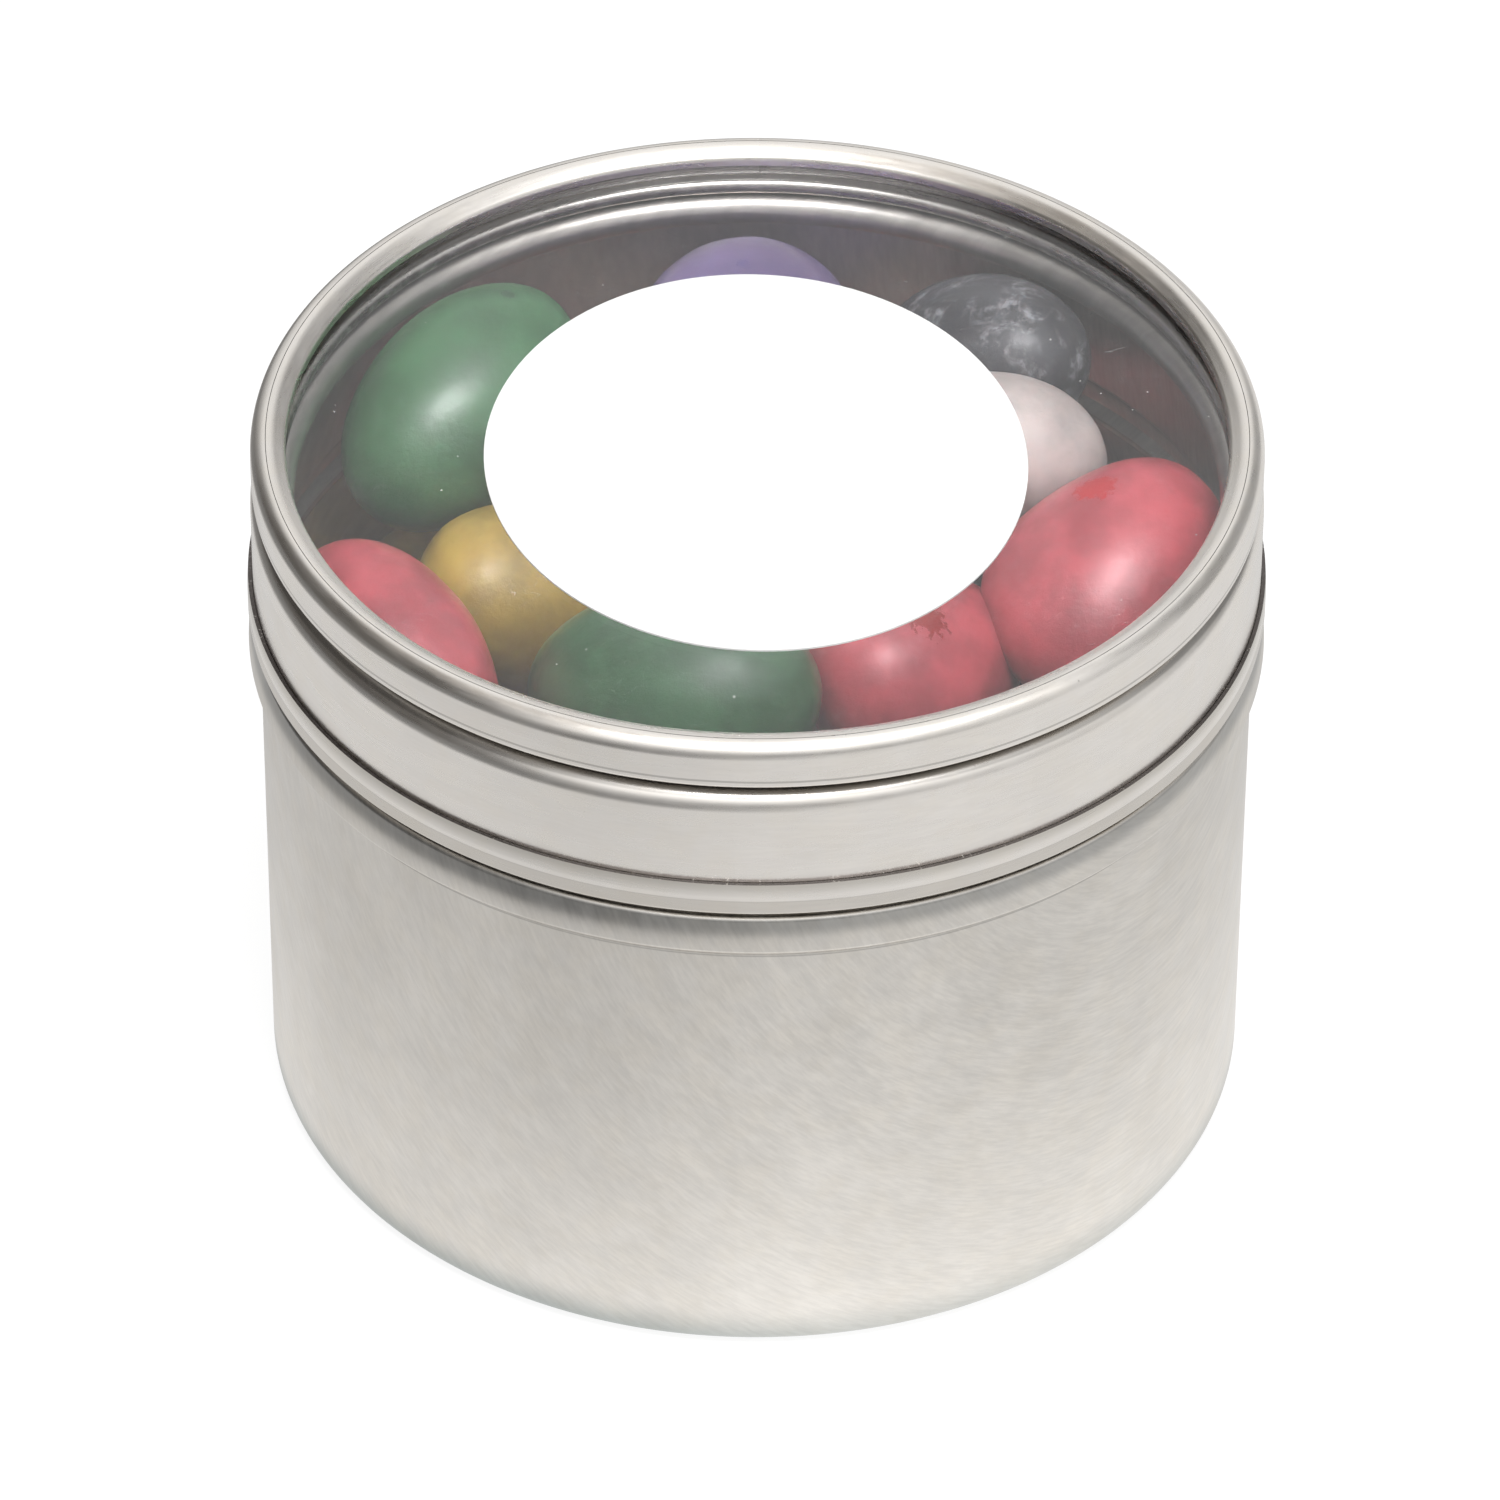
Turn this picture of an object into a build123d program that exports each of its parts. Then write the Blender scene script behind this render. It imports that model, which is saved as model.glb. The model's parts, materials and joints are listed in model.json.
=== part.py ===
from build123d import *
import os
from math import cos, hypot, radians, sin

# Round tin with a lift-off window lid, filled with jelly beans.
# Millimetres. The origin is the centre of the base, +Z is up, the front is -Y.
# Radii are outer ones unless a name says otherwise.

# Sheet metal
sheet = 0.25              # tinplate of the body and of the lid rim

# Tin body
body_radius = 31.38       # straight wall
base_corner_radius = 1.3
base_ring_inset = 7.0     # from the wall to the stiffening ring pressed into the base
base_ring_width = 1.8
base_ring_rise = 0.45
base_ring_slope = 0.4
base_ring_corner = 0.3
bead_top_height = 35.5    # top of the stop bead, just under the lid
bead_top_corner = 0.4
bead_swell = 0.72         # how far the bead stands out from the wall
bead_swell_drop = 2.4     # from the bead's top to where it is widest
bead_swell_corner = 0.2
bead_foot_drop = 3.1      # from the bead's top to where it starts to swell
bead_foot_corner = 0.5
bead_lean_drop = 1.65     # from the bead's top to where it leans in
bead_lean_inset = 0.34    # how far it leans in
bead_lean_corner = 5.5
neck_step = 0.28          # from the wall in to the neck
neck_foot_corner = 0.35
neck_height = 9.1         # from the bead's top to the rolled rim's top
rim_roll_radius = 1.075
rim_roll_gap = 0.3        # between the rolled rim's end and the neck
rim_roll_flat = 0.04      # straight stretch between the roll's quarter turns

# Lid rim
skirt_clearance = 0.37    # between the neck and the skirt
hem_clearance = 0.48      # between the body's bead and the hem
hem_swell = 0.35          # how far the hem stands out from the skirt
hem_foot_corner = 0.17
hem_lean_rise = 1.45      # from the hem's foot to where it leans in
hem_lean_corner = 2.0
hem_edge_rise = 2.37      # from the hem's foot to its raw edge
hem_edge_gap = 0.04       # between the hem's raw edge and the skirt
shoulder_clearance = 0.13 # between the tin's rim and the shoulder
shoulder_corner = 1.3
groove_width = 0.56       # from the shoulder's top to the ring wall's foot
groove_depth = 2.05       # from the ring wall in to the groove's bottom
groove_corner = 0.36
ring_inset = 0.1          # how far the ring wall stands back from the skirt
ring_foot_corner = 0.3
ring_height = 3.14        # from the ring wall's foot to the rolled bead's top
lid_bead_corner = 1.0     # outer side of the rolled bead
lid_bead_width = 1.32     # from the ring wall to where the bead slopes in
lid_bead_slope_corner = 0.8
flange_width = 2.1        # from the ring wall to the flange's inner edge
flange_drop = 1.1         # from the bead's top to the flange's inner edge
flange_lip_width = 0.1    # the flange's edge is turned down more steeply
flange_lip_height = 0.34
flange_lip_corner = 0.25

# Window and label
window_thickness = 0.6
window_edge_width = 0.7   # turned-down edge
window_edge_clearance = 0.2
window_seat_clearance = 0.06
label_thickness = 0.12
label_half_length = 19.2
label_half_width = 16.9
label_x = -0.1
label_y = -1.7
label_turn = 97           # degrees from +X to the oval's long axis

# Worked out from the sizes above
bead_radius = body_radius + bead_swell
neck_radius = body_radius - neck_step
neck_inner_radius = neck_radius - sheet
rim_height = bead_top_height + neck_height
skirt_radius = neck_radius + skirt_clearance + sheet
hem_radius = skirt_radius + hem_swell
hem_foot_height = bead_top_height + hem_clearance
shoulder_height = rim_height + shoulder_clearance + sheet
ring_radius = skirt_radius - ring_inset
ring_foot_height = shoulder_height + groove_width
lid_height = ring_foot_height + ring_height

# Jelly beans. They fill the tin, so their sizes are shares of the neck's inside.
bean_length_share = 0.623
bean_thickness_share = 0.428
bean_length = bean_length_share * neck_inner_radius
bean_thickness = bean_thickness_share * neck_inner_radius
bean_clearance = 0.15
lower_bean_length_share = 0.95
lower_bean_thickness_share = 0.95
ring_bean_count = 7
ring_bean_tilt = 27       # degrees
inner_bean_count = 3
inner_bean_turn = 85      # degrees
layer_turn = 38           # degrees from one lower layer's ring to the next
half_turn = 180
full_turn = 360

# The nine beans seen through the window and one hidden under the label.
# Shares: place from the centre (of the neck's inside), height above the lower
# layers (of a bean's thickness), then length and thickness (of a whole bean).
top_bean_shares = {
    "green": (0.756, 0.793, 1.02, 0.97),
    "purple": (0.702, 0.756, 0.96, 1.02),
    "black": (0.791, 0.756, 0.86, 0.86),
    "white": (0.563, 0.878, 0.73, 0.78),
    "red_right": (0.746, 0.73, 0.95, 0.99),
    "red_front": (0.381, 0.424, 0.98, 0.98),
    "dark_green": (0.475, 0.708, 1.03, 0.99),
    "yellow": (0.484, 0.24, 0.94, 0.95),
    "red_left": (0.791, 0.59, 1.04, 0.88),
    "hidden": (0.109, 0.572, 0.97, 1.03),
}
top_layer_share = 1.33    # how far they reach above the lower layers
# Degrees: bearing from the centre, heading of the long axis, and its tilt.
top_bean_turns = {
    "green": (144, 53, 13),
    "purple": (92, 58, -30),
    "black": (53.5, -40, 28),
    "white": (26.5, 10, -18),
    "red_right": (-8, 64, 18),
    "red_front": (-36, -113, 33),
    "dark_green": (-110, -24, 17),
    "yellow": (169, -135, 43),
    "red_left": (-158, -62, -8),
    "hidden": (110, 80, 0),
}


def shifted(points, distance):
    """The polyline moved sideways by a distance, to its left when positive."""
    lines = []
    for (r0, z0), (r1, z1) in zip(points, points[1:]):
        length = hypot(r1 - r0, z1 - z0)
        lines.append(((r1 - r0) / length, (z1 - z0) / length))
    moved = []
    for index, (r, z) in enumerate(points):
        before = lines[max(index - 1, 0)]
        after = lines[min(index, len(lines) - 1)]
        left = (-before[1] - after[1], before[0] + after[0])
        scale_up = distance / (1 + before[0] * after[0] + before[1] * after[1])
        moved.append((r + left[0] * scale_up, z + left[1] * scale_up))
    return moved


def turns_left(points, index):
    (r0, z0), (r1, z1), (r2, z2) = points[index - 1:index + 2]
    return (r1 - r0) * (z2 - z1) - (z1 - z0) * (r2 - r1) > 0


def drawn_sheet(points, corners):
    """A round piece drawn from sheet: the line of the sheet's middle, with a radius
    at each of its corners, given the sheet's thickness and revolved."""
    half = sheet / 2
    sides = []
    for side in (half, -half):
        radii = []
        for index, corner in enumerate(corners, start=1):
            grows = turns_left(points, index) == (side < 0)
            radii.append(corner + half if grows else corner - half)
        sides.append((shifted(points, side), radii))
    (left, left_radii), (right, right_radii) = sides
    with BuildPart() as piece:
        with BuildSketch(Plane.XZ):
            with BuildLine():
                FilletPolyline(*left, radius=left_radii)
                FilletPolyline(*right, radius=right_radii)
                Line(left[0], right[0])
                Line(left[-1], right[-1])
            make_face()
        revolve(axis=Axis.Z)
    return piece.part


def tin_body():
    half = sheet / 2
    wall = body_radius - half
    bead = bead_radius - half
    neck = neck_radius - half
    bead_top = bead_top_height - half
    rim_top = rim_height - half
    roll = rim_roll_radius - half
    ring_middle = body_radius - base_ring_inset
    ring_inner = ring_middle - base_ring_width / 2
    ring_outer = ring_middle + base_ring_width / 2
    points = [
        (0, half),
        (ring_inner, half),
        (ring_inner + base_ring_slope, half + base_ring_rise),
        (ring_outer - base_ring_slope, half + base_ring_rise),
        (ring_outer, half),
        (wall, half),
        (wall, bead_top_height - bead_foot_drop),
        (bead, bead_top_height - bead_swell_drop),
        (bead, bead_top_height - bead_lean_drop),
        (bead - bead_lean_inset, bead_top),
        (neck, bead_top),
        (neck, rim_top),
        (neck - 2 * roll, rim_top),
        (neck - 2 * roll, rim_top - 2 * roll),
        (neck - half - rim_roll_gap, rim_top - 2 * roll),
    ]
    roll_corner = roll - rim_roll_flat / 2
    corners = [base_ring_corner] * 4 + [
        base_corner_radius - half,
        bead_foot_corner,
        bead_swell_corner,
        bead_lean_corner,
        bead_top_corner - half,
        neck_foot_corner,
        roll_corner,
        roll_corner,
        roll_corner,
    ]
    return drawn_sheet(points, corners)


def lid_rim():
    half = sheet / 2
    edge = ring_radius - flange_width
    edge_height = lid_height - flange_drop
    ring = ring_radius - half
    top = lid_height - half
    ledge = ring_foot_height + half
    groove = ring_radius - groove_depth + half
    shoulder = shoulder_height - half
    skirt = skirt_radius - half
    hem = hem_radius - half
    hem_foot = hem_foot_height + half
    points = [
        (edge, edge_height),
        (edge + flange_lip_width, edge_height + flange_lip_height),
        (ring_radius - lid_bead_width, top),
        (ring, top),
        (ring, ledge),
        (groove, ledge),
        (groove, shoulder),
        (skirt, shoulder),
        (skirt, hem_foot),
        (hem, hem_foot),
        (hem, hem_foot_height + hem_lean_rise),
        (skirt_radius + hem_edge_gap + half, hem_foot_height + hem_edge_rise),
    ]
    corners = [
        flange_lip_corner,
        lid_bead_slope_corner,
        lid_bead_corner - half,
        ring_foot_corner - half,
        groove_corner,
        groove_corner,
        shoulder_corner - half,
        hem_foot_corner,
        hem_foot_corner,
        hem_lean_corner,
    ]
    return drawn_sheet(points, corners)


def window_top():
    """Height of the window's face, just under the flange's inner edge."""
    lip_length = hypot(flange_lip_width, flange_lip_height)
    edge_drop = sheet / 2 * flange_lip_width / lip_length
    return lid_height - flange_drop - edge_drop


def window():
    outer = ring_radius - sheet - window_edge_clearance
    inner = outer - window_edge_width
    face = window_top()
    foot = ring_foot_height + sheet + window_seat_clearance
    with BuildPart() as piece:
        with BuildSketch(Plane.XZ):
            with BuildLine():
                Polyline(
                    (0, face),
                    (outer, face),
                    (outer, foot),
                    (inner, foot),
                    (inner, face - window_thickness),
                    (0, face - window_thickness),
                    close=True,
                )
            make_face()
        revolve(axis=Axis.Z)
    return piece.part


def label():
    with BuildPart() as piece:
        with BuildSketch(Plane.XY.offset(window_top())):
            with Locations(Location((label_x, label_y), label_turn)):
                Ellipse(label_half_length, label_half_width)
        extrude(amount=label_thickness)
    return piece.part


def bean(length, thickness, place, heading, tilt):
    """One bean: its long axis points along the heading, raised by the tilt."""
    with BuildPart() as piece:
        with BuildSketch(Plane.XY):
            with BuildLine():
                EllipticalCenterArc((0, 0), length / 2, thickness / 2, arc_size=half_turn)
                Line((-length / 2, 0), (length / 2, 0))
            make_face()
        revolve(axis=Axis.X)
    return Pos(*place) * Rot(Z=heading) * Rot(Y=-tilt) * piece.part


def lower_beans():
    """Layers under the beans that show, as many as fit: a ring of leaning beans along
    the wall, and three lying ones inside it. Gives them with the height of their top."""
    length = lower_bean_length_share * bean_length
    thickness = lower_bean_thickness_share * bean_thickness
    lean = radians(ring_bean_tilt)
    ring_pitch = hypot(length * sin(lean), thickness * cos(lean)) + bean_clearance
    inner_pitch = thickness + bean_clearance
    ring_place = body_radius - sheet - bean_clearance - thickness / 2
    inner_place = ring_place - inner_pitch
    floor = sheet + base_ring_rise + bean_clearance
    room = window_top() - window_thickness - floor - top_layer_share * bean_thickness
    layer_count = int(room / ring_pitch)
    beans = {}
    for layer in range(layer_count):
        circles = (
            ("ring", ring_bean_count, layer * layer_turn, ring_place, ring_pitch, ring_bean_tilt),
            ("inner", inner_bean_count, inner_bean_turn, inner_place, inner_pitch, 0),
        )
        for circle, count, start, place, pitch, tilt in circles:
            height = floor - bean_clearance / 2 + pitch * (layer + 1 / 2)
            for index in range(count):
                bearing = start + full_turn * index / count
                centre = (
                    place * cos(radians(bearing)),
                    place * sin(radians(bearing)),
                    height,
                )
                name = f"bean_layer_{layer + 1}_{circle}_{index + 1}"
                heading = bearing + full_turn / 4
                beans[name] = bean(length, thickness, centre, heading, tilt)
    return beans, floor + layer_count * ring_pitch


def top_beans(foot):
    """The uppermost beans, their heights counted from the lower layers' top."""
    beans = {}
    for name, (place, height, length, thickness) in top_bean_shares.items():
        bearing, heading, tilt = top_bean_turns[name]
        centre = (
            place * neck_inner_radius * cos(radians(bearing)),
            place * neck_inner_radius * sin(radians(bearing)),
            foot + height * bean_thickness,
        )
        beans["bean_top_" + name] = bean(
            length * bean_length, thickness * bean_thickness, centre, heading, tilt
        )
    return beans


os.makedirs("parts", exist_ok=True)
pieces = {
    "tin_body": tin_body(),
    "lid_rim": lid_rim(),
    "window": window(),
    "label": label(),
}
lower, lower_top = lower_beans()
pieces.update(top_beans(lower_top))
pieces.update(lower)
for node, solid in pieces.items():
    export_step(solid, f"parts/{node}.step")
    print(node, round(solid.volume, 1))
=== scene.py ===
import json
from math import atan2, ceil, copysign, cos, pi, radians, sin, tan

import bmesh
import bpy
from mathutils import Matrix, Vector, noise

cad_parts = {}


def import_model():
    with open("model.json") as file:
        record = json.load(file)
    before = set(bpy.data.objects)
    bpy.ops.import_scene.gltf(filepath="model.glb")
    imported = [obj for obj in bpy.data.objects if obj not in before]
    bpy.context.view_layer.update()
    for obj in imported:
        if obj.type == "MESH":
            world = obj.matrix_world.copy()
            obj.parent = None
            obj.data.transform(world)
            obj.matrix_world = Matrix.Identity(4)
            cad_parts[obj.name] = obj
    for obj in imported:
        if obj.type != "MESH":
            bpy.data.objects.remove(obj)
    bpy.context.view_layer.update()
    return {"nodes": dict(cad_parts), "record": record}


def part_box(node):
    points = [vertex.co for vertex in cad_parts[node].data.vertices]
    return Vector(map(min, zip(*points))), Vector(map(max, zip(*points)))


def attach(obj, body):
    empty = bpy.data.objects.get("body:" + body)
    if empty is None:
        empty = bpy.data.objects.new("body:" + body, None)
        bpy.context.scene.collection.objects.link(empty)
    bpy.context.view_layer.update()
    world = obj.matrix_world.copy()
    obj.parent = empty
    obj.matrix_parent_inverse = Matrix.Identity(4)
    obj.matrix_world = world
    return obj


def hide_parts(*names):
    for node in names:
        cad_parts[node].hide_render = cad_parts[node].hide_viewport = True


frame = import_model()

# Lengths below are in millimetres, as on the drawing of the tin. mm turns them into metres.
mm = 0.001
sheet = 0.25
circle_steps = 288        # points round the tin
arc_step = radians(7)     # along a rounded corner of the profile

# Mid-line of the body's sheet, from the middle of the base outwards and up, with a
# radius at each inner point.
body_line = [
    (0, 0.125), (23.48, 0.125), (23.88, 0.575), (24.88, 0.575), (25.28, 0.125),
    (31.255, 0.125), (31.255, 32.4), (31.975, 33.1), (31.975, 33.85), (31.635, 35.375),
    (30.975, 35.375), (30.975, 44.475), (29.075, 44.475), (29.075, 42.575),
    (30.55, 42.575),
]
body_corners = [0.3, 0.3, 0.3, 0.3, 1.175, 0.5, 0.2, 5.5, 0.275, 0.35, 0.93, 0.93, 0.93]

# The same for the lid rim, from the flange's inner edge over the bead and down.
lid_line = [
    (29.52, 47.58), (29.52, 48.1), (30.35, 48.555), (31.495, 48.555), (31.495, 45.665),
    (29.695, 45.665), (29.695, 44.855), (31.595, 44.855), (31.595, 36.105),
    (31.945, 36.105), (31.945, 37.43), (31.885, 38.35),
]
lid_corners = [0.3, 1.2, 0.875, 0.175, 0.36, 0.36, 1.175, 0.17, 0.17, 2.0]

scribe_height = 46.08         # fine line near the foot of the ring wall
die_line_height = 32.34       # faint line left on the body by the drawing die
hem_line_height = 37.1        # line round the hem, darker below it
burr = 0.012                  # how far the cut edges wander
burrs_round = 130             # how fast the wander changes round the tin
burrs_up = 9                  # the same, up the edge
burr_lift_share = 0.7         # how much of the wander is upwards
stroke_radius = 31.0          # where the lid's brush strokes have their true length
shell_shrink_share = 0.012    # how much smaller a sweet's shell is than its solid
dent_share = 0.05             # depth of the dent under a sweet
lumps = ((1.3, 0.018), (4.5, 0.004))    # broad and fine ones: closeness, height share
swirl_centre = (25.2, -18.7, 45.0)    # the body's brush strokes curve round this place

# Camera. Its place and the directions of its picture, found from the photo.
camera_place = Vector((-0.3686, -486.32, 419.93))
camera_right = Vector((0.99998713, 0.00320919, 0.00392985))
camera_up = Vector((-0.00507372, 0.63250506, 0.77453961))
camera_ahead = Vector((0.0, 0.77454958, -0.6325132))
picture_size = 1500
focal_pixels = 9818
sensor_width = 36


# Shader helpers
def add(tree, kind, inputs=None, **settings):
    """Adds a node, with its settings, and its inputs set or linked."""
    made = tree.nodes.new("ShaderNode" + kind)
    for key, value in settings.items():
        setattr(made, key, value)
    for socket, value in (inputs or {}).items():
        if isinstance(value, bpy.types.NodeSocket):
            tree.links.new(value, made.inputs[socket])
        else:
            made.inputs[socket].default_value = value
    return made


def math(tree, operation, first, second=0.0, third=0.0):
    inputs = {0: first, 1: second, 2: third}
    return add(tree, "Math", inputs, operation=operation).outputs[0]


def vector_math(tree, operation, first, second=None, scale=None):
    inputs = {0: first}
    if second is not None:
        inputs[1] = second
    if scale is not None:
        inputs["Scale"] = scale
    made = add(tree, "VectorMath", inputs, operation=operation)
    return made.outputs["Value" if operation in ("DISTANCE", "LENGTH") else "Vector"]


def ramp(tree, factor, low, high, from_value=0.0, to_value=1.0):
    """Smoothly from one value to the other as the factor goes from low to high."""
    inputs = {"Value": factor, "From Min": low, "From Max": high,
              "To Min": from_value, "To Max": to_value}
    return add(tree, "MapRange", inputs, interpolation_type="SMOOTHSTEP").outputs[0]


def mixed(tree, factor, first, second):
    inputs = {0: factor, 6: first, 7: second}
    return add(tree, "Mix", inputs, data_type="RGBA").outputs[2]


def noise_at(tree, place, scale, detail=3.0, roughness=0.55, distortion=0.0):
    inputs = {"Vector": place, "Scale": scale, "Detail": detail, "Roughness": roughness,
              "Distortion": distortion}
    return add(tree, "TexNoise", inputs).outputs["Fac"]


def colour(value):
    return (*value, 1.0)


def start_material(name):
    """A material with a Principled shader. Gives it, its tree, the shader, and the
    place on the piece in millimetres."""
    material = bpy.data.materials.new(name)
    material.use_nodes = True
    tree = material.node_tree
    shader = tree.nodes["Principled BSDF"]
    coordinates = add(tree, "TexCoord").outputs["Object"]
    place = vector_math(tree, "SCALE", coordinates, scale=1 / mm)
    return material, tree, shader, place


def link(tree, output, shader, socket):
    tree.links.new(output, shader.inputs[socket])


# Materials
def stretched(tree, place, share):
    """The place with its height pressed together, so that a noise runs up and down."""
    return vector_math(tree, "MULTIPLY", place, (1.0, 1.0, share))


def line_at(tree, height, line_height, half_width, wander):
    """One on a fine line round the tin, zero away from it."""
    shifted = math(tree, "ADD", height, wander)
    away = math(tree, "ABSOLUTE", math(tree, "SUBTRACT", shifted, line_height))
    return ramp(tree, away, half_width / 2, half_width, 1.0, 0.0)


def specks(tree, place, scale, size, share):
    """Sparse dots: one in the middle of some cells."""
    cells = add(tree, "TexVoronoi", {"Vector": place, "Scale": scale})
    near = ramp(tree, cells.outputs["Distance"], size * 0.5, size, 1.0, 0.0)
    pick = add(tree, "SeparateColor", {0: cells.outputs["Color"]}).outputs[0]
    chosen = math(tree, "LESS_THAN", pick, share)
    return math(tree, "MULTIPLY", near, chosen)


def swirled(tree, place, across, along):
    """A place for a noise whose strokes run round the swirl's centre: upright on the
    tin's left, leaning at the front and level on its right."""
    reach = vector_math(tree, "DISTANCE", place, swirl_centre)
    parts = add(tree, "SeparateXYZ", {0: vector_math(tree, "SCALE", place, scale=along)})
    leaning = math(tree, "SUBTRACT", parts.outputs["X"], parts.outputs["Z"])
    inputs = {"X": math(tree, "MULTIPLY", reach, across), "Y": leaning,
              "Z": parts.outputs["Y"]}
    return add(tree, "CombineXYZ", inputs).outputs[0]


def ringed(tree, place, across, along):
    """A place for a noise whose strokes run round the tin's axis."""
    parts = add(tree, "SeparateXYZ", {0: place})
    away = math(tree, "MULTIPLY", parts.outputs["Y"], -1.0)
    angle = math(tree, "ARCTAN2", parts.outputs["X"], away)
    level = vector_math(tree, "MULTIPLY", place, (1.0, 1.0, 0.0))
    inputs = {"X": math(tree, "MULTIPLY", vector_math(tree, "LENGTH", level), across),
              "Y": math(tree, "MULTIPLY", parts.outputs["Z"], across),
              "Z": math(tree, "MULTIPLY", angle, stroke_radius * along)}
    return add(tree, "CombineXYZ", inputs).outputs[0]


def darkened(tree, mask, tone, share, tint=(1.0, 1.0, 1.0)):
    """The tone, where the mask is one times the share and the tint."""
    dark = vector_math(tree, "MULTIPLY", tone, tuple(share * part for part in tint))
    return mixed(tree, mask, tone, dark)


def tin_metal(name, tint, rough, contrast, strokes, line, marks):
    """Satin tinplate: cloudy, with fine brush strokes, a few specks and one fine line round it. line
    is its height, half width and strength. strokes gives the run of the brushing, and marks adds the
    piece's painted shade, and on the lid some dirt, to the tone."""
    material, tree, shader, place = start_material(name)
    height = add(tree, "SeparateXYZ", {0: place}).outputs["Z"]
    line_height, half_width, line_strength = line
    hairs = noise_at(tree, strokes(tree, place, 4.2, 0.5), 1.0, 3.0, 0.6)
    smears = noise_at(tree, strokes(tree, place, 0.75, 0.16), 1.0, 4.0, 0.6)
    patches = noise_at(tree, place, 0.21, 4.0, 0.62)
    broad = noise_at(tree, stretched(tree, place, 0.25), 0.06, 2.0, 0.5)

    light = ramp(tree, patches, 0.32, 0.7, 1.0 - contrast, 1.0 + contrast)
    for pattern, weight in ((smears, 1.3), (hairs, 1.6), (broad, 1.0)):
        swing = contrast * weight
        step = ramp(tree, pattern, 0.3, 0.7, 1.0 - swing, 1.0 + swing)
        light = math(tree, "MULTIPLY", light, step)
    sway = 0.05
    wander = math(tree, "MULTIPLY", noise_at(tree, place, 0.5, 2.0), sway)
    scribed = line_at(tree, height, line_height + sway / 2, half_width, wander)
    dots = specks(tree, place, 0.16, 0.028, 0.22)
    light = math(tree, "MULTIPLY", light, ramp(tree, scribed, 0.0, 1.0, 1.0, 1.0 - line_strength))
    light = math(tree, "MULTIPLY", light, ramp(tree, dots, 0.0, 1.0, 1.0, 0.35))
    tone = vector_math(tree, "SCALE", tint, scale=light)
    warm = noise_at(tree, place, 0.4, 3.0, 0.6)
    tone = mixed(tree, ramp(tree, warm, 0.4, 0.65, 0.0, 0.5), tone,
                 vector_math(tree, "MULTIPLY", tone, (1.0, 0.985, 0.955)))
    link(tree, marks(tree, place, tone), shader, "Base Color")
    shader.inputs["Metallic"].default_value = 1.0

    roughness = ramp(tree, smears, 0.3, 0.7, rough - 0.04, rough + 0.04)
    roughness = math(tree, "ADD", roughness, ramp(tree, hairs, 0.3, 0.7, -0.02, 0.02))
    link(tree, roughness, shader, "Roughness")
    grit = noise_at(tree, place, 7.0, 2.0, 0.6)
    relief = math(tree, "ADD", hairs, math(tree, "MULTIPLY", grit, 0.5))
    bump = add(tree, "Bump", {"Strength": 0.14, "Distance": 0.02 * mm, "Height": relief})
    link(tree, bump.outputs[0], shader, "Normal")
    return material


def body_painted_shade(tree, place, tone):
    """Painted shade on the body: blue-grey along the base's corner, strongest on the left, grey on the
    stop bead just under the lid's hem, and a darker rolled rim inside the lid."""
    parts = add(tree, "SeparateXYZ", {0: place})
    height = parts.outputs["Z"]
    # Painted shade, blue-grey, along the base's corner, strongest on the left.
    low = ramp(tree, height, 0.3, 3.2, 1.0, 0.0)
    left = ramp(tree, parts.outputs["X"], -12.0, 12.0, 0.9, 0.5)
    tone = darkened(tree, math(tree, "MULTIPLY", low, left), tone, 0.55, (0.88, 1.0, 1.04))
    # Painted shade: the stop bead greyer just under the lid's hem.
    bead_painted_shade = math(tree, "MULTIPLY", ramp(tree, height, 33.9, 34.9),
                ramp(tree, height, 35.3, 35.42, 1.0, 0.0))
    tone = darkened(tree, bead_painted_shade, tone, 0.66, (0.98, 1.0, 1.02))
    # Painted shade: the rolled rim darker inside the closed lid.
    return darkened(tree, ramp(tree, height, 42.6, 43.4), tone, 0.58)


def lid_dirt_and_painted_shade(tree, place, tone):
    """Dirt and painted shade, brown-black, in the lid's groove, heaviest on the left; painted shade on
    the inside under the window; the hem darker along and below a line round it; and painted shade on
    the hem, growing towards its raw edge."""
    parts = add(tree, "SeparateXYZ", {0: place})
    height = parts.outputs["Z"]
    radius = vector_math(tree, "LENGTH", vector_math(tree, "MULTIPLY", place, (1.0, 1.0, 0.0)))
    # Brown-black in the groove: dirt with painted shade, heaviest on the left.
    inside = ramp(tree, radius, 30.0, 30.5, 1.0, 0.0)
    low = ramp(tree, height, 45.5, 45.7, 1.0, 0.0)
    patchy = ramp(tree, noise_at(tree, place, 0.8, 4.0), 0.25, 0.6, 0.55, 1.0)
    left = ramp(tree, parts.outputs["X"], -30.0, 5.0, 1.0, 0.45)
    mask = math(tree, "MULTIPLY", math(tree, "MULTIPLY", inside, low), patchy)
    tone = mixed(tree, math(tree, "MULTIPLY", mask, left), tone, colour((0.11, 0.075, 0.06)))

    # Painted shade on the lid's inside under the window.
    under = math(tree, "MULTIPLY", ramp(tree, radius, 31.3, 31.42, 1.0, 0.0),
                 ramp(tree, height, 47.0, 47.4, 1.0, 0.0))
    tone = darkened(tree, under, tone, 0.62)
    foot = ramp(tree, height, hem_line_height - 0.04, hem_line_height + 0.02, 1.0, 0.0)
    tone = darkened(tree, foot, tone, 0.80, (1.0, 0.99, 0.97))
    line = line_at(tree, height, hem_line_height, 0.05, 0.0)
    tone = darkened(tree, line, tone, 0.85)
    # Painted shade on the hem, growing towards its raw edge.
    outside = ramp(tree, radius, 31.74, 31.8)
    edge_painted_shade = math(tree, "MULTIPLY", ramp(tree, height, 37.3, 38.35), outside)
    return darkened(tree, edge_painted_shade, tone, 0.72, (1.0, 0.99, 0.96))


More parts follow.
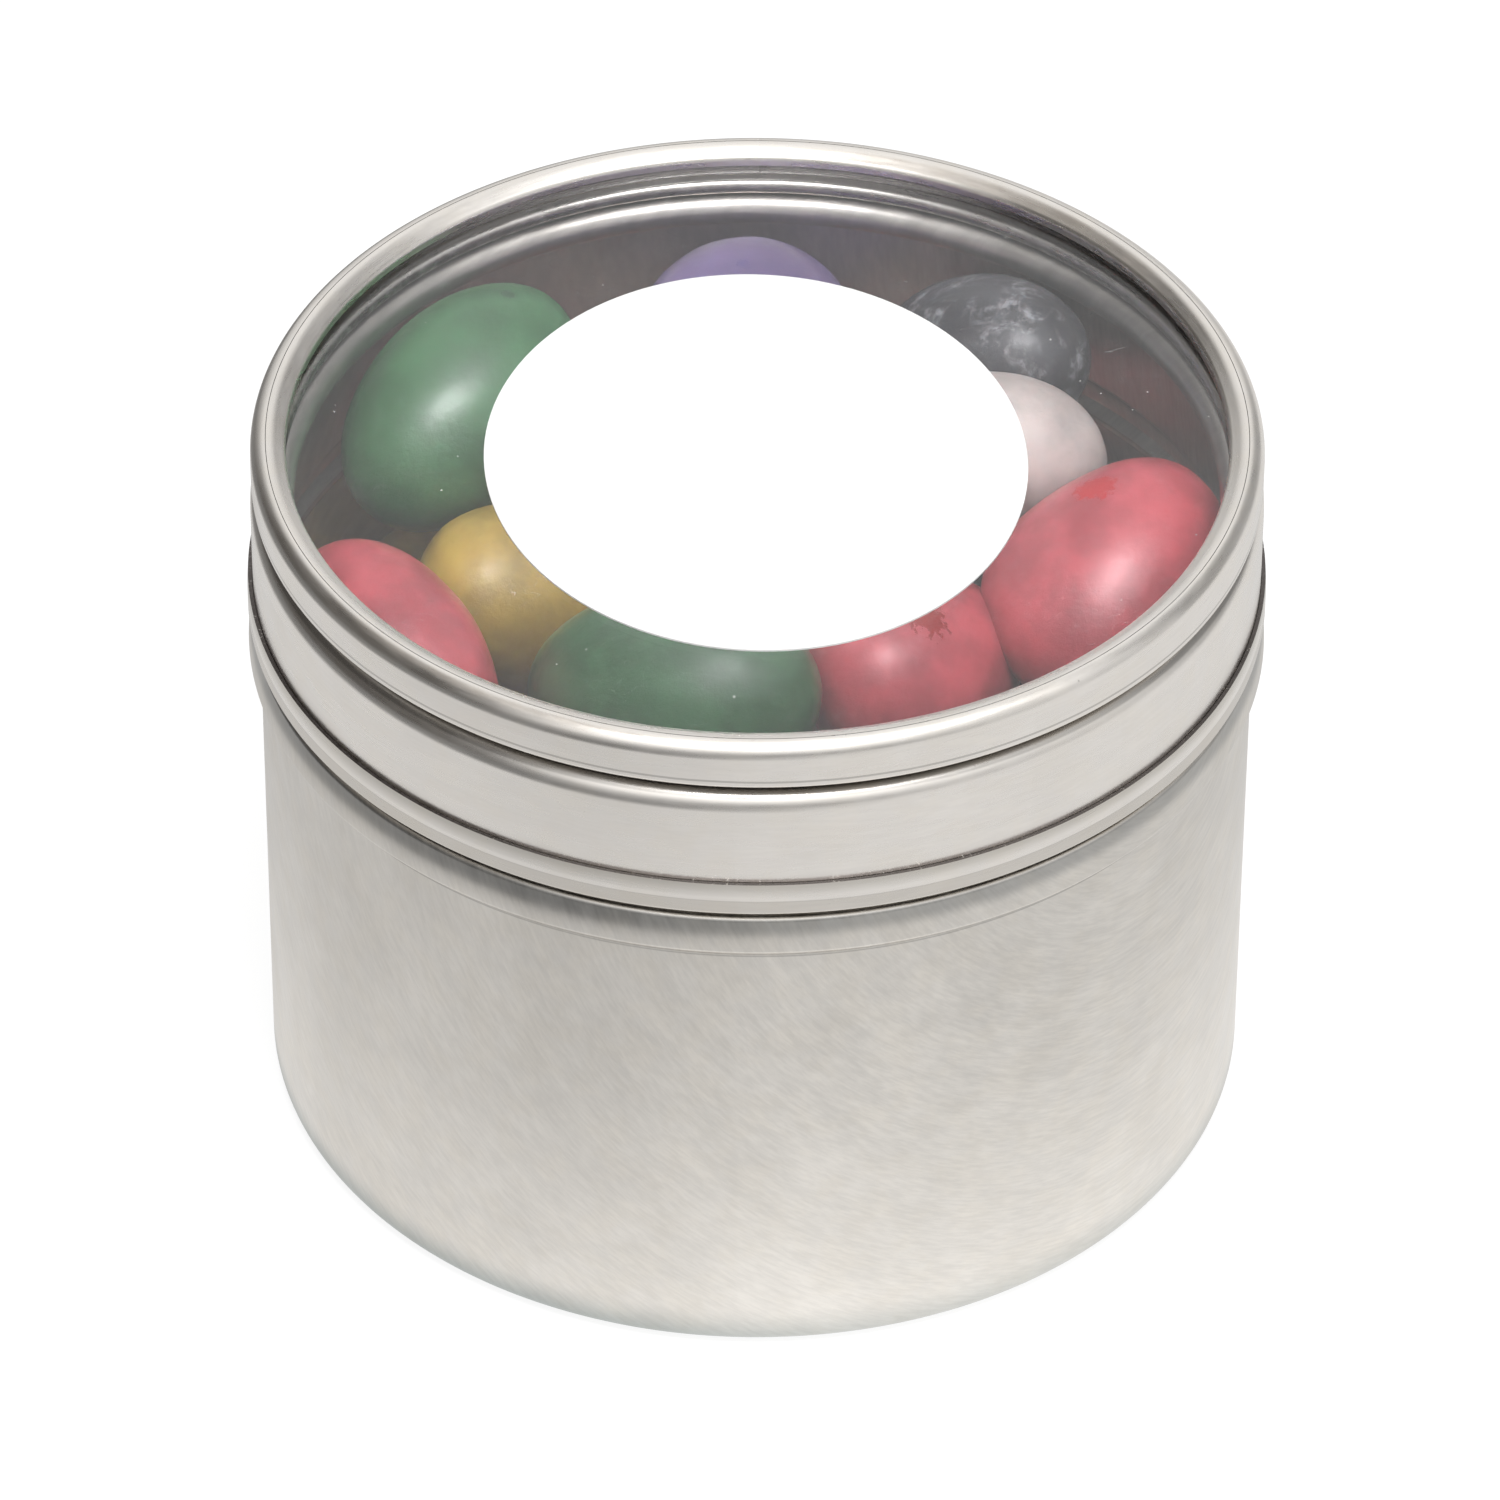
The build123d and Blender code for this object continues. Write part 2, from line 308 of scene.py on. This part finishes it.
def cut_edge():
    """Raw sheared edge of the sheet: dark and rough with bright burrs, and rusty on the
    flange under the window."""
    material, tree, shader, place = start_material("cut_edge")
    height = add(tree, "SeparateXYZ", {0: place}).outputs["Z"]
    grains = noise_at(tree, place, 4.0, 3.0, 0.7)
    rust = math(tree, "MULTIPLY", ramp(tree, noise_at(tree, place, 0.35, 2.0), 0.35, 0.6),
                ramp(tree, height, 44.0, 46.0))
    dull = mixed(tree, rust, colour((0.17, 0.155, 0.15)), colour((0.42, 0.24, 0.13)))
    tone = mixed(tree, ramp(tree, grains, 0.63, 0.72), dull, colour((0.8, 0.78, 0.75)))
    link(tree, tone, shader, "Base Color")
    shader.inputs["Metallic"].default_value = 1.0
    link(tree, ramp(tree, grains, 0.4, 0.7, 0.55, 0.25), shader, "Roughness")
    bump = add(tree, "Bump", {"Strength": 0.5, "Distance": 0.05 * mm, "Height": grains})
    link(tree, bump.outputs[0], shader, "Normal")
    return material


def passed(tree, shader, clear_tone, share):
    """Ends a material that lets a share of the lamp light through to what is below."""
    clear = add(tree, "BsdfTransparent", {"Color": colour(clear_tone)})
    path = add(tree, "LightPath")
    factor = math(tree, "MULTIPLY", path.outputs["Is Shadow Ray"], share)
    mix = add(tree, "MixShader", {0: factor, 1: shader, 2: clear.outputs[0]})
    tree.links.new(mix.outputs[0], tree.nodes["Material Output"].inputs["Surface"])


def clear_window():
    """Clear plastic with faint scuffs, dust and a few fine scratches."""
    material, tree, shader, place = start_material("window_plastic")
    shader.inputs["Base Color"].default_value = colour((0.97, 0.97, 0.98))
    shader.inputs["Transmission Weight"].default_value = 1.0
    shader.inputs["IOR"].default_value = 1.5
    scuffs = noise_at(tree, vector_math(tree, "MULTIPLY", place, (0.35, 1.6, 1.0)), 1.3, 5.0, 0.6)
    link(tree, ramp(tree, scuffs, 0.62, 0.8, 0.0, 0.09), shader, "Roughness")
    where = ramp(tree, noise_at(tree, place, 0.11, 3.0), 0.5, 0.62)
    dust = math(tree, "MULTIPLY", specks(tree, place, 0.9, 0.075, 0.4), where)
    thread = noise_at(tree, vector_math(tree, "MULTIPLY", place, (0.5, 0.9, 1.0)), 0.32, 2.0, 0.5, 1.5)
    thread = ramp(tree, math(tree, "ABSOLUTE", math(tree, "SUBTRACT", thread, 0.5)), 0.0, 0.0022,
                  1.0, 0.0)
    fine = ramp(tree, noise_at(tree, place, 0.2, 2.0), 0.56, 0.6)
    thread = math(tree, "MULTIPLY", thread, math(tree, "MULTIPLY", fine, 0.4))
    dust = math(tree, "MAXIMUM", dust, thread)
    pale = add(tree, "BsdfDiffuse", {"Color": colour((0.85, 0.84, 0.82))})
    dusty = add(tree, "MixShader", {0: math(tree, "MULTIPLY", dust, 0.55), 1: shader.outputs[0],
                                    2: pale.outputs[0]})
    passed(tree, dusty.outputs[0], (0.93, 0.93, 0.94), 1.0)
    return material


def label_paper():
    """Blank white paper with a faint grain, thin enough to let some light through."""
    material, tree, shader, place = start_material("blank_paper")
    fibres = noise_at(tree, vector_math(tree, "MULTIPLY", place, (1.0, 2.2, 1.0)), 4.0, 5.0, 0.65)
    tone = mixed(tree, fibres, colour((0.90, 0.90, 0.89)), colour((0.95, 0.95, 0.945)))
    link(tree, tone, shader, "Base Color")
    link(tree, ramp(tree, fibres, 0.3, 0.7, 0.55, 0.7), shader, "Roughness")
    bump = add(tree, "Bump", {"Strength": 0.15, "Distance": 0.02 * mm, "Height": fibres})
    link(tree, bump.outputs[0], shader, "Normal")
    passed(tree, shader.outputs[0], (1.0, 1.0, 1.0), 0.85)
    return material


def bean_shell(name, tone, mark=None, scuffed=0.0):
    """Polished sugar shell: a little blotchy, softly glossy, with pale dust. A mark is its place, its
    half width and its colour. A scuffed shell has pale scuffs in patches, by the given strength, and
    is less glossy."""
    material, tree, shader, place = start_material(name)
    blotches = noise_at(tree, place, 0.22, 4.0, 0.6)
    grain = noise_at(tree, place, 1.7, 4.0, 0.7)
    deep = tuple(part * 0.72 for part in tone)
    pale = tuple(part * 1.15 + 0.012 for part in tone)
    shade = mixed(tree, ramp(tree, blotches, 0.3, 0.7), colour(deep), colour(pale))
    veil = tuple(part * 0.8 + 0.12 for part in tone)
    shade = mixed(tree, ramp(tree, grain, 0.55, 0.8, 0.0, 0.35), shade, colour(veil))
    dust = specks(tree, place, 0.55, 0.06, 0.3)
    shade = mixed(tree, math(tree, "MULTIPLY", dust, 0.5), shade, colour((0.7, 0.7, 0.68)))
    if scuffed:
        scuffs = noise_at(tree, place, 0.5, 5.0, 0.72, 0.3)
        scuffs = ramp(tree, scuffs, 0.5, 0.72, 0.0, scuffed)
        shade = mixed(tree, scuffs, shade, colour((0.55, 0.56, 0.58)))
    roughness = ramp(tree, grain, 0.3, 0.75, 0.34, 0.5)
    shader.inputs["Subsurface Weight"].default_value = 0.45
    shader.inputs["Subsurface Radius"].default_value = (1.0, 0.5, 0.4)
    shader.inputs["Subsurface Scale"].default_value = 4.0 * mm
    shader.inputs["Coat Weight"].default_value = 0.2 if scuffed else 0.55
    shader.inputs["Coat Roughness"].default_value = 0.32
    relief = math(tree, "ADD", grain, math(tree, "MULTIPLY", blotches, 2.0))
    if mark is not None:
        mark_place, half_width, mark_tone = mark
        ragged = noise_at(tree, place, 1.5, 3.0, 0.7)
        away = vector_math(tree, "DISTANCE", place, tuple(mark_place))
        away = math(tree, "MULTIPLY_ADD", ragged, half_width * 2.0, away)
        patch = ramp(tree, away, half_width * 1.8, half_width * 1.95, 1.0, 0.0)
        shade = mixed(tree, patch, shade, colour(mark_tone))
        relief = math(tree, "SUBTRACT", relief, math(tree, "MULTIPLY", patch, 1.5))
    link(tree, shade, shader, "Base Color")
    link(tree, roughness, shader, "Roughness")
    bump = add(tree, "Bump", {"Strength": 0.5, "Distance": 0.06 * mm, "Height": relief})
    link(tree, bump.outputs[0], shader, "Normal")
    return material


# Shapes
def left_of(direction):
    return Vector((-direction.y, direction.x))


def rounded(points, corners):
    """The line through the points with its corners rounded, as places with the
    direction of the line there."""
    points = [Vector(point) for point in points]
    samples = [(points[0], (points[1] - points[0]).normalized())]
    for before, point, after, corner in zip(points, points[1:], points[2:], corners):
        into = (point - before).normalized()
        away = (after - point).normalized()
        turn = atan2(into.x * away.y - into.y * away.x, into.dot(away))
        start = point - into * (corner * tan(abs(turn) / 2))
        radius = copysign(corner, turn)
        centre = start + left_of(into) * radius
        steps = max(2, ceil(abs(turn) / arc_step))
        for step in range(steps + 1):
            direction = Matrix.Rotation(turn * step / steps, 2) @ into
            samples.append((centre - left_of(direction) * radius, direction))
    samples.append((points[-1], (points[-1] - points[-2]).normalized()))
    return samples


def lathe(name, strips):
    """A mesh turned about Z from strips of (place, normal, wander) rows. Each strip has
    its own points and exact normals, so the edges between strips stay sharp."""
    places, normals, faces, slots = [], [], [], []
    for rows, slot in strips:
        indices = []
        for point, normal, wander in rows:
            row = []
            for step in range(1 if point.x == 0 else circle_steps):
                angle = 2 * pi * step / circle_steps
                jitter = 0
                if wander:
                    spot = Vector((cos(angle) * burrs_round, sin(angle) * burrs_round,
                                   point.y * burrs_up))
                    jitter = wander * noise.noise(spot)
                radius = point.x + jitter
                height = point.y + jitter * burr_lift_share
                around = Vector((cos(angle), sin(angle), 0))
                places.append((around * radius + Vector((0, 0, height))) * mm)
                normals.append(around * normal.x + Vector((0, 0, normal.y)))
                row.append(len(places) - 1)
            indices.append(row if len(row) > 1 else row * circle_steps)
        direction = rows[1][0] - rows[0][0]
        flipped = left_of(direction).dot(rows[0][1]) > 0
        for low, high in zip(indices, indices[1:]):
            for step in range(circle_steps):
                after = (step + 1) % circle_steps
                face = [low[step], low[after], high[after], high[step]]
                face = list(dict.fromkeys(face))
                faces.append(face[::-1] if flipped else face)
                slots.append(slot)
    mesh = bpy.data.meshes.new(name)
    mesh.from_pydata(places, [], faces)
    mesh.polygons.foreach_set("use_smooth", [True] * len(faces))
    mesh.polygons.foreach_set("material_index", slots)
    mesh.update()
    mesh.normals_split_custom_set_from_vertices(normals)
    return mesh


def drawn_sheet(name, line, corners, metal, edge):
    """A round piece of sheet metal from its mid-line, with a cut edge at each end that is off the
    axis.
    """
    samples = rounded(line, corners)
    half = sheet / 2
    strips = []
    for side in (1, -1):
        rows = []
        for place, direction in samples:
            normal = left_of(direction) * side
            rows.append((place + normal * half, normal, 0))
        strips.append((rows, 0))
    for place, direction, sign in ((*samples[0], -1), (*samples[-1], 1)):
        if place.x == 0:
            continue
        across = left_of(direction) * half
        normal = direction * sign
        rows = [(place + across * share, normal, burr) for share in (1, 0.4, -0.4, -1)]
        strips.append((rows, 1))
    mesh = lathe(name, strips)
    mesh.materials.append(metal)
    mesh.materials.append(edge)
    piece = bpy.data.objects.new(name, mesh)
    bpy.context.scene.collection.objects.link(piece)
    return piece


def bean_axes(node):
    """Centre, long axis and half sizes of a CAD bean, in millimetres."""
    low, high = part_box(node)
    centre = (low + high) / 2
    points = [vertex.co - centre for vertex in frame["nodes"][node].data.vertices]
    tip = max(points, key=lambda point: point.length)
    along = tip.normalized()
    half_thickness = max((point - along * point.dot(along)).length for point in points)
    return centre / mm, along, tip.length / mm, half_thickness / mm


def bean(node, material, seed, bulge):
    """A sweet about as big as its CAD solid: blunt, slightly dented and lumpy. bulge is
    how far one side of it is pulled out, in millimetres."""
    centre, along, half_length, half_thickness = bean_axes(node)
    turn = along.to_track_quat("X", "Z")
    shape = bmesh.new()
    bmesh.ops.create_icosphere(shape, subdivisions=5, radius=1)
    shift = Vector((seed * 3.7, seed * 1.9, seed * 5.3))
    for vertex in shape.verts:
        unit = vertex.co.normalized()
        lump = sum(noise.noise(unit * pitch + shift) * rise for pitch, rise in lumps)
        hollow = max(0, -unit.z) * (1 - min(1, abs(unit.x) * 1.6)) * dent_share
        swell = 1 - shell_shrink_share + lump - hollow
        local = Vector((unit.x * half_length, unit.y * half_thickness, unit.z * half_thickness))
        place = turn @ (local * swell)
        if bulge.length:
            place += bulge * max(0, place.normalized().dot(bulge.normalized())) ** 2
        vertex.co = (centre + place) * mm
    mesh = bpy.data.meshes.new(node + "_shell")
    shape.to_mesh(mesh)
    shape.free()
    mesh.polygons.foreach_set("use_smooth", [True] * len(mesh.polygons))
    mesh.materials.append(material)
    piece = bpy.data.objects.new(node + "_shell", mesh)
    bpy.context.scene.collection.objects.link(piece)
    return piece


def seen_at(node, pixel):
    """The place on a CAD bean that the photo shows at a pixel, in millimetres."""
    across = (pixel[0] - picture_size / 2) / focal_pixels
    upwards = (picture_size / 2 - pixel[1]) / focal_pixels
    ray = (camera_ahead + camera_right * across + camera_up * upwards).normalized()
    centre, along, half_length, half_thickness = bean_axes(node)

    def pressed(vector):
        part = along * vector.dot(along)
        return part / half_length + (vector - part) / half_thickness

    start = pressed(camera_place - centre)
    step = pressed(ray)
    near = -start.dot(step) / step.dot(step)
    miss = (start + step * near).length_squared
    depth = near - (max(0, 1 - miss) / step.dot(step)) ** 0.5
    return camera_place + ray * depth


# The tin and the lid rim
edge_material = cut_edge()
body_metal = tin_metal("body_tinplate", (0.775, 0.743, 0.695), 0.36, 0.03, swirled,
                       (die_line_height, 0.26, 0.3), body_painted_shade)
rim_metal = tin_metal("lid_tinplate", (0.95, 0.91, 0.86), 0.29, 0.013, ringed,
                      (scribe_height, 0.1, 0.32), lid_dirt_and_painted_shade)
tin = drawn_sheet("tin_shell", body_line, body_corners, body_metal, edge_material)
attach(tin, "tin")
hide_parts("tin_body")
rim = drawn_sheet("lid_rim_shell", lid_line, lid_corners, rim_metal, edge_material)
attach(rim, "lid")
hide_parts("lid_rim")

# The window and the label keep their CAD shapes
for node, material in (("window", clear_window()), ("label", label_paper())):
    mesh = frame["nodes"][node].data
    mesh.materials.clear()
    mesh.materials.append(material)

# Beans. Linear colours of the sugar shells.
green = (0.03, 0.115, 0.042)
dark_green = (0.025, 0.10, 0.035)
purple = (0.12, 0.08, 0.20)
black = (0.035, 0.035, 0.04)
white = (0.42, 0.365, 0.345)
red = (0.39, 0.046, 0.062)
yellow = (0.38, 0.255, 0.035)

tones = {
    "bean_green": green, "bean_dark_green": dark_green, "bean_purple": purple,
    "bean_black": black, "bean_white": white, "bean_red": red, "bean_yellow": yellow,
}
plain_shells = {slot: bean_shell(slot + "_shell", tone) for slot, tone in tones.items()}

# Marks left where sweets stuck together: the photo's pixel, half width, colour.
marks = {
    "bean_top_green": ((508, 297), 0.55, (0.01, 0.05, 0.02)),
    "bean_top_purple": ((745, 268), 0.5, (0.08, 0.05, 0.16)),
    "bean_top_red_right": ((1095, 490), 1.45, (0.38, 0.0, 0.006)),
    "bean_top_red_front": ((930, 622), 1.4, (0.26, 0.0, 0.0)),
}
# Two reds that press against each other, and a lighter tone for one of them: painted light on the
# front red, under the label.
bulges = {"bean_top_red_right": Vector((-1.9, 0.1, 0.0)),
          "bean_top_red_front": Vector((0.5, 0.3, 0.0))}
painted_light_tones = {"bean_top_red_front": (0.46, 0.066, 0.085)}
scuff_strengths = {"bean_top_black": 0.4}
subparts = {part["node"]: part["material_slot"] for part in frame["record"]["subparts"]}
seed = 0
for node, slot in subparts.items():
    if not node.startswith("bean"):
        continue
    if node.startswith("bean_top"):
        seed += 1
        mark = None
        if node in marks:
            pixel, half_width, mark_tone = marks[node]
            mark = (seen_at(node, pixel), half_width, mark_tone)
        shell = plain_shells[slot]
        if node in marks or node in scuff_strengths:
            # Painted light: the front red takes its lighter tone here.
            tone = painted_light_tones.get(node, tones[slot])
            scuffed = scuff_strengths.get(node, 0.0)
            shell = bean_shell(node + "_sugar", tone, mark, scuffed)
        piece = bean(node, shell, seed, bulges.get(node, Vector()))
        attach(piece, "tin")
        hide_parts(node)
    else:
        mesh = frame["nodes"][node].data
        mesh.materials.clear()
        mesh.materials.append(plain_shells[slot])


# Studio
def bearing(degrees):
    """Level direction at an angle from the camera's side, positive to the right."""
    return (sin(radians(degrees)), -cos(radians(degrees)), 0.0)


def aside(tree, level_direction, card_bearing, wide, narrow):
    """One near a card's bearing, zero away from it. wide and narrow are cosines."""
    turned = add(tree, "VectorMath", {0: level_direction, 1: card_bearing},
                 operation="DOT_PRODUCT")
    return ramp(tree, turned.outputs["Value"], wide, narrow)


def looked_at(tree):
    """One for what the camera sees straight or through the window, not by reflection."""
    path = add(tree, "LightPath")
    bounced = math(tree, "ADD", path.outputs["Glossy Depth"], path.outputs["Diffuse Depth"])
    through = math(tree, "MULTIPLY", path.outputs["Is Transmission Ray"],
                   math(tree, "LESS_THAN", bounced, 0.5))
    return math(tree, "MAXIMUM", path.outputs["Is Camera Ray"], through)


def levels(tree, rise, stops, tint=(1.0, 1.0, 1.0)):
    """Brightness by elevation. stops are pairs of an elevation in degrees and a level."""
    made = add(tree, "ValToRGB", {0: rise})
    made.color_ramp.interpolation = "EASE"
    elements = made.color_ramp.elements
    while len(elements) < len(stops):
        elements.new(0.5)
    for element, (elevation, level) in zip(elements, stops):
        element.position = sin(radians(elevation)) / 2 + 0.5
        element.color = (level * tint[0], level * tint[1], level * tint[2], 1)
    return made.outputs[0]


def world():
    """Soft studio light: bright above and in front, a paler sweep behind, a dark card on
    the left and a grey one low at the right. The camera sees plain white."""
    made = bpy.data.worlds.new("studio")
    bpy.context.scene.world = made
    made.use_nodes = True
    tree = made.node_tree
    tree.nodes.clear()
    direction = add(tree, "TexCoord").outputs["Generated"]
    parts = add(tree, "SeparateXYZ", {0: direction})
    rise = math(tree, "MULTIPLY_ADD", parts.outputs["Z"], 0.5, 0.5)
    level = vector_math(tree, "MULTIPLY", direction, (1.0, 1.0, 0.0))
    level = vector_math(tree, "NORMALIZE", level)
    across = add(tree, "SeparateXYZ", {0: level})

    overhead = [(90, 1.15)]
    high = [(75, 1.05), *overhead]
    front = levels(tree, rise, [(-90, 0.3), (0, 0.31), (10, 0.38), (20, 0.55), (31, 0.9),
                                (45, 1.25), (68, 1.35), *overhead])
    right = levels(tree, rise, [(-90, 0.5), (0, 0.56), (22, 0.62), (42, 0.75), (60, 0.95),
                                *high])
    back = levels(tree, rise, [(-90, 0.5), (0, 0.55), (12, 0.62), (28, 0.74), (45, 0.82),
                               (60, 0.9), *high])
    left = levels(tree, rise, [(-90, 0.085), (42, 0.085), (60, 0.28), (78, 0.5), *overhead],
                  (1.06, 1.0, 0.94))
    low_right = levels(tree, rise, [(-90, 0.35), (10, 0.33), (35, 0.27), (55, 0.5), *high])
    room = mixed(tree, ramp(tree, across.outputs["Y"], -0.3, 0.6), front, back)
    room = mixed(tree, ramp(tree, across.outputs["X"], 0.25, 0.85), room, right)
    room = mixed(tree, aside(tree, level, bearing(125), 0.8, 0.95), room, low_right)
    room = mixed(tree, aside(tree, level, bearing(-98), 0.42, 0.9), room, left)
    light = mixed(tree, looked_at(tree), room, colour((1.0, 1.0, 1.0)))
    background = add(tree, "Background", {"Color": light, "Strength": 1.0})
    add(tree, "OutputWorld", {"Surface": background.outputs[0]})


def floor():
    """White table: what the camera sees is nearly all its own white, and the rest
    carries the tin's soft shadow. Reflections show it bright near the tin and dimmer
    farther out, most of all on the left."""
    material = bpy.data.materials.new("table")
    material.use_nodes = True
    tree = material.node_tree
    tree.nodes.clear()
    paper = add(tree, "BsdfDiffuse", {"Color": colour((0.86, 0.86, 0.86))})
    place = add(tree, "TexCoord").outputs["Object"]
    away = vector_math(tree, "LENGTH", place)
    level = vector_math(tree, "NORMALIZE", place)
    side = add(tree, "SeparateXYZ", {0: level}).outputs["X"]
    lit = ramp(tree, side, -0.9, 0.1, 0.2, 0.42)
    lit = math(tree, "MULTIPLY", lit, ramp(tree, side, 0.5, 0.95, 1.0, 0.65))
    lit = math(tree, "MULTIPLY", lit, ramp(tree, away, 0.030, 0.062, 1.0, 0.0))
    base = ramp(tree, side, -0.6, 0.7, 0.70, 0.73)
    far = ramp(tree, side, -0.5, 0.5, 0.14, 0.26)
    fall = math(tree, "MULTIPLY", ramp(tree, side, -0.55, 0.6, 0.72, 0.0),
                ramp(tree, away, 0.08, far))
    glow = math(tree, "MULTIPLY", base, math(tree, "SUBTRACT", 1.0, fall))
    glow = math(tree, "ADD", glow, lit)
    path = add(tree, "LightPath")
    reflected = path.outputs["Is Glossy Ray"]
    shown = mixed(tree, reflected, colour((1.2, 1.2, 1.2)), glow)
    white = add(tree, "Emission", {"Color": shown, "Strength": 1.0})
    seen = looked_at(tree)
    share = math(tree, "MAXIMUM", math(tree, "MULTIPLY", seen, 0.7), reflected)
    mix = add(tree, "MixShader", {0: share, 1: paper.outputs[0], 2: white.outputs[0]})
    add(tree, "OutputMaterial", {"Surface": mix.outputs[0]})
    mesh = bpy.data.meshes.new("table")
    reach = 3.0
    corners = [(-reach, -reach, 0), (reach, -reach, 0), (reach, reach, 0), (-reach, reach, 0)]
    mesh.from_pydata(corners, [], [(0, 1, 2, 3)])
    mesh.materials.append(material)
    piece = bpy.data.objects.new("table", mesh)
    bpy.context.scene.collection.objects.link(piece)


def softbox(name, place, size, watts):
    lamp = bpy.data.lights.new(name, "AREA")
    lamp.shape = "RECTANGLE"
    lamp.size, lamp.size_y = size
    lamp.energy = watts
    piece = bpy.data.objects.new(name, lamp)
    piece.location = place
    piece.rotation_euler = Vector(place).to_track_quat("Z", "Y").to_euler()
    bpy.context.scene.collection.objects.link(piece)


def camera():
    lens = bpy.data.cameras.new("camera")
    lens.sensor_width = sensor_width
    lens.lens = sensor_width * focal_pixels / picture_size
    lens.clip_start = 0.01
    lens.clip_end = 20
    piece = bpy.data.objects.new("camera", lens)
    turn = Matrix((camera_right, camera_up, -camera_ahead)).transposed()
    piece.matrix_world = Matrix.Translation(camera_place * mm) @ turn.to_4x4()
    bpy.context.scene.collection.objects.link(piece)
    bpy.context.scene.camera = piece


world()
floor()
softbox("ceiling_bank", (0.05, -0.19, 0.58), (0.28, 0.16), 1.9)
camera()
bpy.context.scene.view_settings.view_transform = "Standard"
